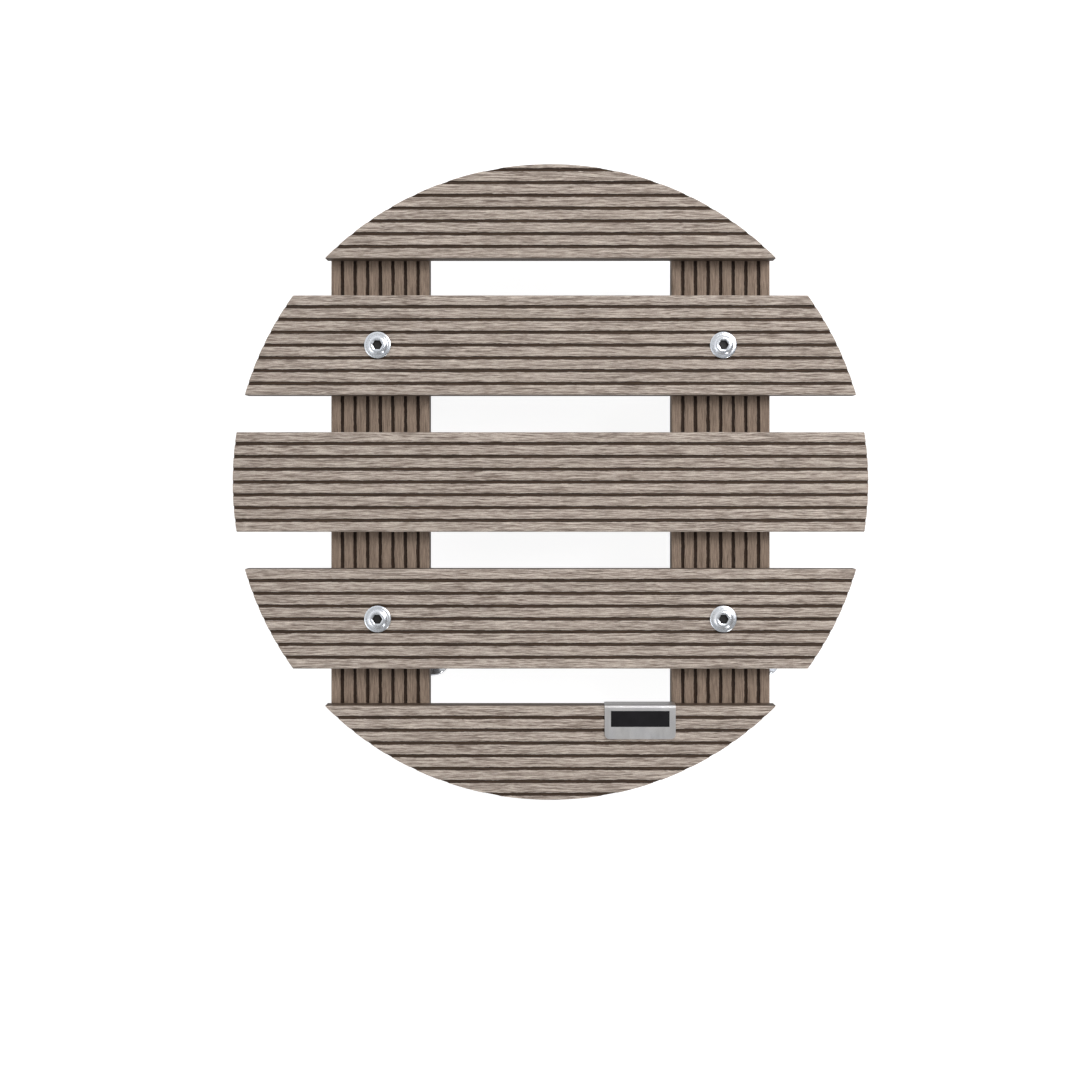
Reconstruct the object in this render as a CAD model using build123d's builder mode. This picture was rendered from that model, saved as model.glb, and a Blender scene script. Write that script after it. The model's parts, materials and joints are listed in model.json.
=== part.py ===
from build123d import *
import math
import os

# Plant pot caddy: a round slatted deck of grooved boards, carried by four swivel casters.
# The two front casters have a foot brake. All sizes are in millimetres.
# Frame: +Z up, the floor at Z = 0 under the middle of the deck, the slats along X, and the
# front slat, with its badge plate, at -Y. All four wheels trail towards -Y.

# Deck
DECK_DIAMETER = 390.0
BOARD_WIDTH = 61.2
BOARD_THICKNESS = 14.0
BOARD_EDGE_RADIUS = 1.2
SLAT_PITCH = 84.0
RAIL_OFFSET = 106.0
GROOVE_COUNT = 7
GROOVE_PITCH = 7.85
GROOVE_WIDTH = 2.0
GROOVE_DEPTH = 1.3

# Countersunk screws, driven up through the rails into the slats that carry no caster bolt
SCREW_DIAMETER = 4.0
SCREW_HEAD_DIAMETER = 8.0
SCREW_LENGTH = 24.0
SCREW_POINT = 4.0
CENTRE_SCREWS = ((90.0, 0.0), (122.0, 0.0))
END_SCREWS = ((88.0, 160.0), (112.0, 147.0))
SCREW_RECESS_WIDTH = 4.4
SCREW_RECESS_ARM = 1.0
SCREW_RECESS_DEPTH = 1.4

# Caster bolts and their nuts
BOLT_DIAMETER = 8.0
BOLT_HOLE_DIAMETER = 8.6
BOLT_HEAD_DIAMETER = 16.4
BOLT_HEAD_HEIGHT = 2.6
BOLT_RIM_HEIGHT = 0.7
BOLT_CROWN_DIAMETER = 9.0
BOLT_SOCKET_FLATS = 5.0
BOLT_SOCKET_DEPTH = 4.0
BOLT_END_CHAMFER = 1.0
NUT_FLATS = 13.0
NUT_HEIGHT = 6.4

# Badge plate, folded over the inner edge of the front slat
BADGE_WIDTH = 43.5
BADGE_CENTRE_X = 55.0
BADGE_DEPTH = 21.0
BADGE_DROP = 13.5
BADGE_THICKNESS = 0.8
BADGE_CORNER_RADIUS = 3.0
BADGE_FOLD_RADIUS = 0.7

# Caster
CASTER_HEIGHT = 68.0
CASTER_TRAIL = 24.0
CUP_TOP_RADIUS = 18.0
CUP_RIM_RADIUS = 22.9
CUP_RIM_HEIGHT = 1.0
CUP_DEPTH = 6.2
CUP_WALL_SHIFT = 0.8
SHEET = 1.8
BEARING_GAP = 2.3
BALL_DIAMETER = 5.0
BALL_COUNT = 16
BALL_PITCH_RADIUS = 18.0
BALL_SINK = 0.4
BALL_CLEARANCE = 0.1
KINGPIN_RADIUS = 6.0
KINGPIN_FLANGE_RADIUS = 9.0
KINGPIN_FLANGE_THICKNESS = 1.6
THRUST_WASHER_RADIUS = 9.5
THRUST_WASHER_THICKNESS = 2.4
RUNNING_FIT = 0.06
SIDE_PLAY = 0.3

# Fork
FORK_DRUM_RADIUS = 21.0
FORK_WIDTH = 34.0
FORK_STEP = 3.2
FORK_FRONT = 23.0
FORK_SKIRT = 7.0
FORK_LEG_END_RADIUS = 8.4
FORK_BLEND_RADIUS = 4.0
FORK_EDGE_RADIUS = 1.2
FORK_SHOULDER_RADIUS = 1.0

# Wheel
WHEEL_DIAMETER = 50.0
WHEEL_WIDTH = 22.0
TYRE_EDGE_RADIUS = 2.8
TYRE_SEAT_RADIUS = 20.6
RIM_INNER_RADIUS = 18.9
RIM_LIP_RADIUS = 0.7
WEB_THICKNESS = 9.0
WEB_DISH = 1.6
HUB_RADIUS = 7.4
AXLE_RADIUS = 4.0
RIVET_HEAD_RADIUS = 6.6
RIVET_HEAD_HEIGHT = 3.0

# Foot brake, outside the right leg of each front fork
BRAKE_CAM_RADIUS = 8.0
BRAKE_CAM_THICKNESS = 1.9
BRAKE_RAMP_HEIGHT = 1.5
BRAKE_RAMP_COUNT = 3
BRAKE_RAMP_LENGTH = 5.0
BRAKE_RAMP_RADIUS = 5.1
BRAKE_RAMP_WIDTH = 1.6
LEVER_THICKNESS = 1.6
LEVER_STANDOFF = 2.3
LEVER_SLOPE = -50.0
LEVER_HUB_RADIUS = 10.4
LEVER_BOSS_RADIUS = 9.3
LEVER_BOSS_HEIGHT = 1.9
LEVER_BOSS_DRAFT = 45.0
LEVER_BOSS_BLEND = 1.2
LEVER_REACH_UP = 25.0
LEVER_REACH_DOWN = 24.5
LEVER_FOLD = 6.2
LEVER_BELLY = 5.6
LEVER_CORNER_RADIUS = 9.0
EAR_REACH = 20.7
EAR_UP_TIP = 34.0
EAR_DOWN_TIP = 32.0
EAR_ROOT = 8.0
EAR_TIP_ROUND = 7.5
EAR_TAPER = 5.0
EAR_TAPER_START = 20.0
EAR_HEEL_RADIUS = 7.0
EAR_BEND_RADIUS = 2.4
EAR_LEAN = 9.0
EAR_LAP = 0.5
LEVER_SLOT_PLACE = (-20.5, -3.6)
LEVER_SLOT_LENGTH = 4.2
LEVER_SLOT_WIDTH = 1.5
LEVER_DIMPLE_PLACE = (14.5, 1.8)
LEVER_DIMPLE_RADIUS = 1.5
LEVER_DIMPLE_HEIGHT = 0.5
LEVER_DIMPLE_DRAFT = 30.0
LEVER_RIVET_RADIUS = 5.8
LEVER_RIVET_HEIGHT = 2.6
LEVER_RIVET_PLAY = 0.15

# Heights and radii that follow from the sizes above
DECK_RADIUS = DECK_DIAMETER / 2
WHEEL_RADIUS = WHEEL_DIAMETER / 2
RAIL_TOP = CASTER_HEIGHT + BOARD_THICKNESS
DECK_TOP = RAIL_TOP + BOARD_THICKNESS
CUP_RIM = CASTER_HEIGHT - CUP_DEPTH
FORK_TOP = CUP_RIM - BEARING_GAP
BALL_HEIGHT = FORK_TOP - BALL_SINK + BALL_DIAMETER / 2
KINGPIN_SHOULDER = FORK_TOP - SHEET - SIDE_PLAY - THRUST_WASHER_THICKNESS
KINGPIN_BOTTOM = KINGPIN_SHOULDER - KINGPIN_FLANGE_THICKNESS
LEG_FACE = FORK_WIDTH / 2
LEVER_FACE = LEG_FACE + LEVER_STANDOFF
LEVER_OUTER = LEVER_FACE + LEVER_THICKNESS
BOSS_FACE = LEVER_OUTER + LEVER_BOSS_HEIGHT

SLAT_ROWS = {
    "front_slat": -2,
    "front_middle_slat": -1,
    "centre_slat": 0,
    "rear_middle_slat": 1,
    "rear_slat": 2,
}
RAILS = {"left_rail": -RAIL_OFFSET, "right_rail": RAIL_OFFSET}
CASTERS = {
    "front_left": (-RAIL_OFFSET, -SLAT_PITCH),
    "front_right": (RAIL_OFFSET, -SLAT_PITCH),
    "rear_left": (-RAIL_OFFSET, SLAT_PITCH),
    "rear_right": (RAIL_OFFSET, SLAT_PITCH),
}
BRAKED = ("front_left", "front_right")
SCREW_PLACES = [
    (side * x, end * y)
    for x, y in (*CENTRE_SCREWS, *END_SCREWS)
    for side in (-1, 1)
    for end in ((1,) if y == 0 else (-1, 1))
]


def board_section(plane):
    """The cross-section of a board: grooved on top, with its top face on the plane's X axis."""
    with BuildSketch(plane) as section:
        Rectangle(BOARD_WIDTH, BOARD_THICKNESS, align=(Align.CENTER, Align.MAX))
        fillet(section.vertices(), BOARD_EDGE_RADIUS)
        with GridLocations(GROOVE_PITCH, GROOVE_PITCH, GROOVE_COUNT, 1):
            Rectangle(GROOVE_WIDTH, 2 * GROOVE_DEPTH, mode=Mode.SUBTRACT)
    return section.sketch


def deck_outline(height):
    """The round outline that every board is cut to."""
    with BuildSketch(Plane.XY.offset(height)) as outline:
        Circle(DECK_RADIUS)
    return outline.sketch


def caster_level(caster, height):
    """A level plane centred on a caster's swivel axis."""
    x, y = CASTERS[caster]
    return Plane((x, y, height))


def caster_side(caster, offset=0.0):
    """An upright plane that faces +X, centred on a caster's axle: its X is +Y, its Y is up."""
    x, y = CASTERS[caster]
    return Plane((x + offset, y - CASTER_TRAIL, WHEEL_RADIUS), x_dir=(0, 1, 0), z_dir=(1, 0, 0))


def caster_section(caster):
    """An upright plane through a caster's swivel axis: its X is +X, its Y is the height."""
    x, y = CASTERS[caster]
    return Plane((x, y, 0), x_dir=(1, 0, 0), z_dir=(0, -1, 0))


def axle_section(caster):
    """An upright plane through a caster's axle: its X is +X, its Y is up from the axle."""
    x, y = CASTERS[caster]
    return Plane((x, y - CASTER_TRAIL, WHEEL_RADIUS), x_dir=(1, 0, 0), z_dir=(0, -1, 0))


def swivel_axis(caster):
    x, y = CASTERS[caster]
    return Axis((x, y, 0), (0, 0, 1))


def axle_axis(caster):
    x, y = CASTERS[caster]
    return Axis((x, y - CASTER_TRAIL, WHEEL_RADIUS), (1, 0, 0))


def make_slat(row):
    """One slat across the rails: bolted through at the casters, screwed from below elsewhere."""
    y = row * SLAT_PITCH
    with BuildPart() as slat:
        section = board_section(Plane((0, y, DECK_TOP), x_dir=(0, 1, 0), z_dir=(1, 0, 0)))
        extrude(section, DECK_RADIUS, both=True)
        extrude(deck_outline(RAIL_TOP), BOARD_THICKNESS, mode=Mode.INTERSECT)
        if (-RAIL_OFFSET, y) in CASTERS.values():
            with Locations((-RAIL_OFFSET, y), (RAIL_OFFSET, y)):
                Hole(BOLT_HOLE_DIAMETER / 2)
        else:
            screws = [(px, py, RAIL_TOP) for px, py in SCREW_PLACES if abs(py - y) < BOARD_WIDTH / 2]
            with Locations(screws):
                Hole(SCREW_DIAMETER / 2, SCREW_LENGTH - BOARD_THICKNESS)
    return slat.part


def make_rail(x):
    """One rail under the slats, with caster bolt holes and countersunk screw holes."""
    with BuildPart() as rail:
        section = board_section(Plane((x, 0, RAIL_TOP), x_dir=(1, 0, 0), z_dir=(0, -1, 0)))
        extrude(section, DECK_RADIUS, both=True)
        extrude(deck_outline(CASTER_HEIGHT), BOARD_THICKNESS, mode=Mode.INTERSECT)
        with Locations((x, -SLAT_PITCH), (x, SLAT_PITCH)):
            Hole(BOLT_HOLE_DIAMETER / 2)
        undersides = [
            Plane((px, py, CASTER_HEIGHT), z_dir=(0, 0, -1))
            for px, py in SCREW_PLACES
            if abs(px - x) < BOARD_WIDTH / 2
        ]
        with Locations(undersides):
            CounterSinkHole(SCREW_DIAMETER / 2, SCREW_HEAD_DIAMETER / 2, counter_sink_angle=90)
    return rail.part


def make_deck_screws():
    """The countersunk screws, heads flush with the underside of the rails."""
    head_height = (SCREW_HEAD_DIAMETER - SCREW_DIAMETER) / 2
    with BuildPart() as deck_screws:
        with BuildSketch(Plane.XZ):
            with BuildLine():
                Polyline(
                    (0, 0),
                    (SCREW_HEAD_DIAMETER / 2, 0),
                    (SCREW_DIAMETER / 2, head_height),
                    (SCREW_DIAMETER / 2, SCREW_LENGTH - SCREW_POINT),
                    (0, SCREW_LENGTH),
                    close=True,
                )
            make_face()
        revolve(axis=Axis.Z)
        with BuildSketch(Plane.XY):
            Rectangle(SCREW_RECESS_WIDTH, SCREW_RECESS_ARM)
            Rectangle(SCREW_RECESS_ARM, SCREW_RECESS_WIDTH)
        extrude(amount=SCREW_RECESS_DEPTH, mode=Mode.SUBTRACT)
    with BuildPart() as all_screws:
        with Locations([(x, y, CASTER_HEIGHT) for x, y in SCREW_PLACES]):
            add(deck_screws.part)
    return all_screws.part


def make_caster_bolts():
    """The four bolts, from a low domed head on the deck down through each caster's kingpin."""
    with BuildPart() as caster_bolts:
        for caster in CASTERS:
            end = KINGPIN_BOTTOM - NUT_HEIGHT - BOLT_END_CHAMFER
            with BuildSketch(caster_section(caster)):
                with BuildLine():
                    Polyline(
                        (0, DECK_TOP + BOLT_HEAD_HEIGHT),
                        (0, end),
                        (BOLT_DIAMETER / 2 - BOLT_END_CHAMFER, end),
                        (BOLT_DIAMETER / 2, end + BOLT_END_CHAMFER),
                        (BOLT_DIAMETER / 2, DECK_TOP),
                        (BOLT_HEAD_DIAMETER / 2, DECK_TOP),
                        (BOLT_HEAD_DIAMETER / 2, DECK_TOP + BOLT_RIM_HEIGHT),
                    )
                    TangentArc(
                        (BOLT_CROWN_DIAMETER / 2, DECK_TOP + BOLT_HEAD_HEIGHT),
                        (BOLT_HEAD_DIAMETER / 2, DECK_TOP + BOLT_RIM_HEIGHT),
                        tangent=(1, 0),
                    )
                    Line(
                        (BOLT_CROWN_DIAMETER / 2, DECK_TOP + BOLT_HEAD_HEIGHT),
                        (0, DECK_TOP + BOLT_HEAD_HEIGHT),
                    )
                make_face()
            revolve(axis=swivel_axis(caster))
            with BuildSketch(caster_level(caster, DECK_TOP + BOLT_HEAD_HEIGHT)):
                RegularPolygon(BOLT_SOCKET_FLATS / 2, 6, major_radius=False)
            extrude(amount=-BOLT_SOCKET_DEPTH, mode=Mode.SUBTRACT)
    return caster_bolts.part


def make_caster_nuts():
    """The four hex nuts, drawn up against the kingpins inside the forks."""
    with BuildPart() as caster_nuts:
        for caster in CASTERS:
            with BuildSketch(caster_level(caster, KINGPIN_BOTTOM)):
                RegularPolygon(NUT_FLATS / 2, 6, major_radius=False)
                Circle(BOLT_DIAMETER / 2, mode=Mode.SUBTRACT)
            extrude(amount=-NUT_HEIGHT)
    return caster_nuts.part


def make_badge_plate():
    """A blank sheet-metal badge, flat on the front slat and folded down over its inner edge."""
    edge = BOARD_WIDTH / 2 - 2 * SLAT_PITCH
    with BuildPart() as badge_plate:
        with BuildSketch(Plane.XY.offset(DECK_TOP)) as top:
            with Locations((BADGE_CENTRE_X, edge + BADGE_THICKNESS)):
                Rectangle(BADGE_WIDTH, BADGE_DEPTH, align=(Align.CENTER, Align.MAX))
            fillet(top.vertices().group_by(Axis.Y)[0], BADGE_CORNER_RADIUS)
        extrude(amount=BADGE_THICKNESS)
        with BuildSketch(Plane((BADGE_CENTRE_X, edge, DECK_TOP), x_dir=(1, 0, 0), z_dir=(0, 1, 0))):
            Rectangle(BADGE_WIDTH, BADGE_DROP, align=(Align.CENTER, Align.MIN))
        extrude(amount=BADGE_THICKNESS)
        level_edges = badge_plate.edges().filter_by(Axis.X)
        outer_fold = level_edges.sort_by(lambda e: e.center().Y + e.center().Z)[-1]
        fillet(outer_fold, BADGE_FOLD_RADIUS)
    return badge_plate.part


def make_swivel_cup(caster):
    """The fixed upper bearing cup: a shallow cone pressed from sheet, flat against the rail."""
    slope = (CUP_RIM_RADIUS - CUP_TOP_RADIUS) / (CUP_DEPTH - CUP_RIM_HEIGHT)
    inner_top = CASTER_HEIGHT - SHEET
    inner_top_radius = CUP_TOP_RADIUS - CUP_WALL_SHIFT
    with BuildPart() as swivel_cup:
        with BuildSketch(caster_section(caster)):
            with BuildLine():
                Polyline(
                    (KINGPIN_RADIUS, CASTER_HEIGHT),
                    (CUP_TOP_RADIUS, CASTER_HEIGHT),
                    (CUP_RIM_RADIUS, CUP_RIM + CUP_RIM_HEIGHT),
                    (CUP_RIM_RADIUS, CUP_RIM),
                    (inner_top_radius + slope * (inner_top - CUP_RIM), CUP_RIM),
                    (inner_top_radius, inner_top),
                    (KINGPIN_RADIUS, inner_top),
                    close=True,
                )
            make_face()
        revolve(axis=swivel_axis(caster))
    return swivel_cup.part


def make_kingpin(caster):
    """The hollow rivet that holds the swivel together, with the caster bolt through its bore."""
    with BuildPart() as kingpin:
        with BuildSketch(caster_level(caster, KINGPIN_BOTTOM)):
            Circle(KINGPIN_FLANGE_RADIUS)
        extrude(amount=KINGPIN_FLANGE_THICKNESS)
        with BuildSketch(caster_level(caster, KINGPIN_BOTTOM)):
            Circle(KINGPIN_RADIUS)
        extrude(amount=CASTER_HEIGHT - KINGPIN_BOTTOM)
        with Locations(caster_level(caster, CASTER_HEIGHT)):
            Hole(BOLT_HOLE_DIAMETER / 2)
    return kingpin.part


def make_bearing_balls(caster):
    """The ring of balls between the cup and the fork."""
    with BuildPart() as bearing_balls:
        with Locations(caster_level(caster, BALL_HEIGHT)):
            with PolarLocations(BALL_PITCH_RADIUS, BALL_COUNT):
                Sphere(BALL_DIAMETER / 2)
    return bearing_balls.part


def make_thrust_washer(caster):
    """The washer on the kingpin's flange that the fork turns on from below."""
    with BuildPart() as thrust_washer:
        with BuildSketch(caster_level(caster, KINGPIN_SHOULDER)):
            Circle(THRUST_WASHER_RADIUS)
            Circle(KINGPIN_RADIUS, mode=Mode.SUBTRACT)
        extrude(amount=THRUST_WASHER_THICKNESS)
    return thrust_washer.part


def fork_plan(caster, height, inset):
    """The plan of the fork's lower part: a drum around the swivel that runs on into two legs."""
    half_width = FORK_WIDTH / 2 - inset
    with BuildSketch(caster_level(caster, height)) as plan:
        Circle(FORK_DRUM_RADIUS - inset)
        Rectangle(2 * half_width, 2 * CASTER_TRAIL, align=(Align.CENTER, Align.MAX))
        hollow_corners = plan.vertices().group_by(Axis.Y)[1]
        fillet(hollow_corners, FORK_BLEND_RADIUS + inset)
    return plan.sketch


def make_fork(caster):
    """The pressed fork: a drum with a raised bearing crown, a skirt behind and two flat legs."""
    floor = WHEEL_RADIUS - FORK_LEG_END_RADIUS
    step = FORK_TOP - FORK_STEP
    back = CASTER_TRAIL + FORK_DRUM_RADIUS
    top = FORK_TOP - WHEEL_RADIUS
    with BuildPart() as fork:
        extrude(fork_plan(caster, floor, 0), step - floor)
        fillet(fork.edges().group_by(Axis.Z)[-1], FORK_SHOULDER_RADIUS)
        extrude(fork_plan(caster, floor, SHEET), step - SHEET - floor, mode=Mode.SUBTRACT)
        with BuildSketch(caster_level(caster, step - SHEET)):
            Circle(FORK_DRUM_RADIUS)
        extrude(amount=FORK_STEP + SHEET)
        fillet(fork.edges().group_by(Axis.Z)[-1], FORK_EDGE_RADIUS)
        with BuildSketch(caster_level(caster, step - SHEET)):
            Circle(FORK_DRUM_RADIUS - SHEET)
        extrude(amount=FORK_STEP, mode=Mode.SUBTRACT)
        with BuildSketch(caster_side(caster, -FORK_DRUM_RADIUS)):
            with BuildLine():
                CenterArc((0, 0), FORK_LEG_END_RADIUS, 0, 360)
                Polyline(
                    (CASTER_TRAIL - FORK_FRONT, top - FORK_STEP),
                    (CASTER_TRAIL - FORK_FRONT, top),
                    (back, top),
                    (back, top - FORK_SKIRT),
                    close=True,
                )
            make_hull()
        extrude(amount=2 * FORK_DRUM_RADIUS, mode=Mode.INTERSECT)
        with Locations(caster_level(caster, FORK_TOP)):
            Hole(KINGPIN_RADIUS + RUNNING_FIT)
        with BuildSketch(caster_section(caster)):
            with Locations((BALL_PITCH_RADIUS, BALL_HEIGHT)):
                Circle(BALL_DIAMETER / 2 + BALL_CLEARANCE)
        revolve(axis=swivel_axis(caster), mode=Mode.SUBTRACT)
        with BuildSketch(caster_side(caster, -FORK_DRUM_RADIUS)):
            Circle(AXLE_RADIUS)
        extrude(amount=2 * FORK_DRUM_RADIUS, mode=Mode.SUBTRACT)
    return fork.part


def make_axle(caster):
    """The rivet that the wheel runs on, with a domed head outside each leg or brake lever."""
    braked = caster in BRAKED
    right = BOSS_FACE + LEVER_RIVET_PLAY if braked else LEG_FACE
    right_radius = LEVER_RIVET_RADIUS if braked else RIVET_HEAD_RADIUS
    right_height = LEVER_RIVET_HEIGHT if braked else RIVET_HEAD_HEIGHT
    left = -LEG_FACE
    with BuildPart() as axle:
        with BuildSketch(axle_section(caster)):
            with BuildLine():
                Line((left - RIVET_HEAD_HEIGHT, 0), (right + right_height, 0))
                TangentArc((right + right_height, 0), (right, right_radius), tangent=(0, 1))
                Polyline(
                    (right, right_radius),
                    (right, AXLE_RADIUS),
                    (left, AXLE_RADIUS),
                    (left, RIVET_HEAD_RADIUS),
                )
                TangentArc((left - RIVET_HEAD_HEIGHT, 0), (left, RIVET_HEAD_RADIUS), tangent=(0, 1))
            make_face()
        revolve(axis=axle_axis(caster))
    return axle.part


def make_wheel_core(caster):
    """The moulded wheel centre: a long hub, a dished web and the rim that the tyre sits on."""
    rim = WHEEL_WIDTH / 2 - RIM_LIP_RADIUS / 2
    hub = FORK_WIDTH / 2 - SHEET - SIDE_PLAY
    web_at_hub = WEB_THICKNESS / 2
    web_at_rim = WEB_THICKNESS / 2 + WEB_DISH
    bore = AXLE_RADIUS + RUNNING_FIT
    with BuildPart() as wheel_core:
        with BuildSketch(axle_section(caster)) as profile:
            with BuildLine():
                Polyline(
                    (0, bore),
                    (hub, bore),
                    (hub, HUB_RADIUS),
                    (web_at_hub, HUB_RADIUS),
                    (web_at_rim, RIM_INNER_RADIUS),
                    (rim, RIM_INNER_RADIUS),
                    (rim, TYRE_SEAT_RADIUS),
                    (0, TYRE_SEAT_RADIUS),
                    close=True,
                )
            make_face()
            mirror(about=Plane.YZ)
            rim_corners = profile.vertices().filter_by_position(Axis.Y, RIM_INNER_RADIUS, RIM_INNER_RADIUS)
            lips = rim_corners.group_by(Axis.X)
            fillet([*lips[0], *lips[-1]], RIM_LIP_RADIUS)
        revolve(axis=axle_axis(caster))
    return wheel_core.part


def make_tyre(caster):
    """The tread ring on the wheel's rim, with rounded shoulders."""
    with BuildPart() as tyre:
        with BuildSketch(axle_section(caster)) as ring:
            with Locations((0, TYRE_SEAT_RADIUS)):
                Rectangle(WHEEL_WIDTH, WHEEL_RADIUS - TYRE_SEAT_RADIUS, align=(Align.CENTER, Align.MIN))
            fillet(ring.vertices().group_by(Axis.Y)[-1], TYRE_EDGE_RADIUS)
        revolve(axis=axle_axis(caster))
    return tyre.part


def make_brake_cam(caster):
    """The fixed ramp washer between the leg and the lever, which the lever rides up to brake."""
    with BuildPart() as brake_cam:
        with BuildSketch(caster_side(caster, LEG_FACE)):
            Circle(BRAKE_CAM_RADIUS)
            Circle(AXLE_RADIUS, mode=Mode.SUBTRACT)
        extrude(amount=BRAKE_CAM_THICKNESS)
        with BuildSketch(caster_side(caster, LEG_FACE + BRAKE_CAM_THICKNESS)):
            with PolarLocations(BRAKE_RAMP_RADIUS, BRAKE_RAMP_COUNT):
                SlotOverall(BRAKE_RAMP_LENGTH, BRAKE_RAMP_WIDTH, rotation=90)
        extrude(amount=BRAKE_RAMP_HEIGHT)
    return brake_cam.part


def lever_plane(caster, offset):
    """The brake lever's own plane: centred on the axle, its X runs down along the lever."""
    x, y = CASTERS[caster]
    along = Vector(0, 1, 0).rotate(Axis.X, LEVER_SLOPE)
    return Plane((x + offset, y - CASTER_TRAIL, WHEEL_RADIUS), x_dir=along, z_dir=(1, 0, 0))


def make_lever_ears(caster):
    """The two rounded ears of a brake lever, bent outwards from the upper edge of its plate."""
    plate = lever_plane(caster, LEVER_FACE)
    tip_end = plate.from_local_coords((-EAR_UP_TIP, 0, 0))
    middle = LEVER_THICKNESS / 2
    lean = EAR_REACH * math.tan(math.radians(EAR_LEAN))
    with BuildPart() as lever_ears:
        with BuildSketch(Plane(tip_end, x_dir=plate.y_dir, z_dir=plate.x_dir)):
            with BuildLine():
                FilletPolyline(
                    (LEVER_FOLD - EAR_BEND_RADIUS - EAR_LAP, middle),
                    (LEVER_FOLD + middle, middle),
                    (LEVER_FOLD + middle + lean, middle + EAR_REACH),
                    radius=EAR_BEND_RADIUS,
                )
            trace(line_width=LEVER_THICKNESS)
        extrude(amount=EAR_UP_TIP + EAR_DOWN_TIP)
        with BuildSketch(Plane(plate.origin, x_dir=plate.x_dir, z_dir=-plate.y_dir)) as outlines:
            for root, tip in ((-EAR_ROOT, -EAR_UP_TIP), (EAR_ROOT, EAR_DOWN_TIP)):
                taper_start = math.copysign(EAR_TAPER_START, tip)
                with BuildLine():
                    Polyline(
                        (root, 0),
                        (root, EAR_REACH),
                        (tip, EAR_REACH),
                        (tip, EAR_TAPER),
                        (taper_start, 0),
                        close=True,
                    )
                make_face()
            corners = outlines.vertices().group_by(Axis.X)
            fillet([*corners[0], *corners[-1]], EAR_TIP_ROUND)
            heels = outlines.vertices().filter_by_position(Axis.X, -EAR_ROOT, EAR_ROOT)
            fillet(heels.group_by(Axis.Y)[-1], EAR_HEEL_RADIUS)
        extrude(amount=EAR_REACH, both=True, mode=Mode.INTERSECT)
    return lever_ears.part


def make_brake_lever(caster):
    """The pressed foot lever: a hub boss, a flat plate and two rounded ears folded outwards."""
    plate = lever_plane(caster, LEVER_FACE)
    face = lever_plane(caster, LEVER_OUTER)
    edge = LEVER_FOLD - EAR_BEND_RADIUS
    with BuildPart() as brake_lever:
        with BuildSketch(plate) as blade:
            with BuildLine():
                Polyline(
                    (-LEVER_REACH_UP, edge),
                    (LEVER_REACH_DOWN, edge),
                    (LEVER_REACH_DOWN, -LEVER_BELLY),
                    (-LEVER_REACH_UP, -LEVER_BELLY),
                    close=True,
                )
            make_face()
            fillet(blade.vertices().group_by(Axis.Y)[0], LEVER_CORNER_RADIUS)
            Circle(LEVER_HUB_RADIUS)
            with Locations(LEVER_SLOT_PLACE):
                SlotOverall(LEVER_SLOT_LENGTH, LEVER_SLOT_WIDTH, mode=Mode.SUBTRACT)
        extrude(amount=LEVER_THICKNESS)
        with BuildSketch(face):
            Circle(LEVER_BOSS_RADIUS)
        extrude(amount=LEVER_BOSS_HEIGHT, taper=LEVER_BOSS_DRAFT)
        round_edges = brake_lever.edges().filter_by(GeomType.CIRCLE)
        boss_rim = round_edges.group_by(Axis.X)[-1]
        boss_foot = round_edges.filter_by(lambda e: math.isclose(e.radius, LEVER_BOSS_RADIUS))
        fillet([*boss_rim, *boss_foot], LEVER_BOSS_BLEND)
        with BuildSketch(plate):
            Circle(LEVER_BOSS_RADIUS - LEVER_THICKNESS)
        extrude(amount=LEVER_BOSS_HEIGHT, taper=LEVER_BOSS_DRAFT, mode=Mode.SUBTRACT)
        add(make_lever_ears(caster))
        with BuildSketch(face):
            with Locations(LEVER_DIMPLE_PLACE):
                Circle(LEVER_DIMPLE_RADIUS)
        extrude(amount=LEVER_DIMPLE_HEIGHT, taper=LEVER_DIMPLE_DRAFT)
        with BuildSketch(plate):
            Circle(AXLE_RADIUS + RUNNING_FIT)
        extrude(amount=LEVER_THICKNESS + LEVER_BOSS_HEIGHT, mode=Mode.SUBTRACT)
    return brake_lever.part


pieces = {name: make_slat(row) for name, row in SLAT_ROWS.items()}
pieces.update({name: make_rail(x) for name, x in RAILS.items()})
pieces["deck_screws"] = make_deck_screws()
pieces["caster_bolts"] = make_caster_bolts()
pieces["caster_nuts"] = make_caster_nuts()
pieces["badge_plate"] = make_badge_plate()
for caster in CASTERS:
    pieces[f"{caster}_swivel_cup"] = make_swivel_cup(caster)
    pieces[f"{caster}_kingpin"] = make_kingpin(caster)
    pieces[f"{caster}_bearing_balls"] = make_bearing_balls(caster)
    pieces[f"{caster}_thrust_washer"] = make_thrust_washer(caster)
    pieces[f"{caster}_fork"] = make_fork(caster)
    pieces[f"{caster}_axle"] = make_axle(caster)
    pieces[f"{caster}_wheel_core"] = make_wheel_core(caster)
    pieces[f"{caster}_tyre"] = make_tyre(caster)
for caster in BRAKED:
    pieces[f"{caster}_brake_cam"] = make_brake_cam(caster)
    pieces[f"{caster}_brake_lever"] = make_brake_lever(caster)

os.makedirs("parts", exist_ok=True)
for name, piece in pieces.items():
    piece.label = name
    export_step(piece, f"parts/{name}.step")
print(len(pieces), "pieces written")
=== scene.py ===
import json
import math

import bmesh
import bpy
import numpy as np
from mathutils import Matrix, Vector, noise


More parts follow.
